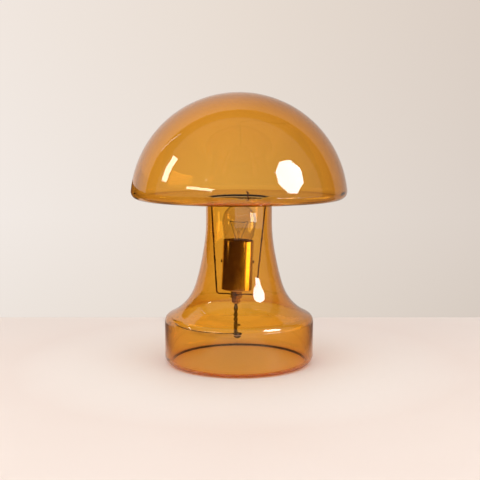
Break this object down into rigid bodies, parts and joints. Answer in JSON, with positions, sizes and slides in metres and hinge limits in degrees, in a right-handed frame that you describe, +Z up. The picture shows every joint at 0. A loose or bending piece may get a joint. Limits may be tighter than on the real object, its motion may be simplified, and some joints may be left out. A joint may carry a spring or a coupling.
{
  "type": "table lamp",
  "caption": "Mushroom table lamp in clear amber glass: a domed shade on a bell-shaped base, with a brass lampholder hung on wire in the neck.",
  "frame": {"origin": "centre of the base's rim, on the table", "axes": "+Z up along the axis of the base and shade, +Y to the back, where the flex leaves, +X to the viewer's right in the picture"},
  "size_m": [0.2984, 0.5521, 0.375],
  "materials": {
    "amber_glass": "clear amber glass, gloss",
    "clear_glass": "clear thin glass, gloss",
    "clear_silicone": "translucent silicone, satin",
    "dark_wire": "darkened steel wire, satin",
    "brass": "turned brass, satin",
    "insulator": "unglazed porcelain",
    "contact_metal": "plain",
    "cap_metal": "bright",
    "cap_insulator": "black vitreous insulator",
    "solder": "solder",
    "tungsten": "tungsten and support wire",
    "core_insulation": "PVC insulation",
    "textile_flex": "black textile-covered twisted flex",
    "grommet_rubber": "black rubber",
    "black_plastic": "moulded black plastic",
    "tie_fabric": "woven hook-and-loop strap",
    "nickel": "nickel-plated brass"
  },
  "bodies": {
    "base": {"base_glass": "amber_glass", "rim_gasket": "clear_silicone", "cord_grommet": "grommet_rubber", "hanger_yoke": "dark_wire", "hanger_ring": "dark_wire", "holder_sleeve": "brass", "holder_cup": "insulator", "contact_block": "insulator", "terminal_screws": "contact_metal", "holder_skirt": "insulator", "sleeve_screws": "brass", "screw_shell": "contact_metal", "centre_contact": "contact_metal", "threaded_nipple": "brass", "upper_lock_nut": "dark_wire", "lower_lock_nut": "dark_wire", "cord_grip": "brass", "grip_screw": "contact_metal", "lead_wires": "core_insulation", "inner_cord": "textile_flex", "cord_lead": "textile_flex", "cord_middle": "textile_flex", "cord_coil": "textile_flex", "cord_tail": "textile_flex", "coil_tie": "tie_fabric", "switch_base": "black_plastic", "switch_cover": "black_plastic", "switch_screws": "contact_metal", "switch_contacts": "contact_metal", "plug_body": "black_plastic", "plug_pins": "nickel", "plug_relief": "black_plastic"},
    "shade": {"shade_glass": "amber_glass"},
    "bulb_slide": {"bulb_tip": "solder"},
    "bulb": {"bulb_glass": "clear_glass", "bulb_cap": "cap_metal", "bulb_insulator": "cap_insulator", "bulb_stem": "clear_glass", "bulb_filament": "tungsten"},
    "rocker": {"switch_rocker": "black_plastic"}
  },
  "joints": [
    {"name": "shade_lift", "type": "slide", "parent": "base", "child": "shade", "axis": [0, 0, 1], "range_m": [0, 0.12]},
    {"name": "bulb_rise", "type": "slide", "parent": "base", "child": "bulb_slide", "axis": [0.0384, 0, 0.9993], "range_m": [0, 0.02]},
    {"name": "bulb_turn", "type": "hinge", "parent": "bulb_slide", "child": "bulb", "pos_m": [0, 0, 0.194], "axis": [0.0384, 0, 0.9993], "range_deg": [0, 1980]},
    {"name": "switch_rocker", "type": "hinge", "parent": "base", "child": "rocker", "pos_m": [-0.003, 0.386, 0.013], "axis": [0, 1, 0], "range_deg": [0, 14]}
  ],
  "couplings": [
    {"joint": "bulb_rise", "follows": "bulb_turn", "m_per_rad": 0.00057757}
  ]
}
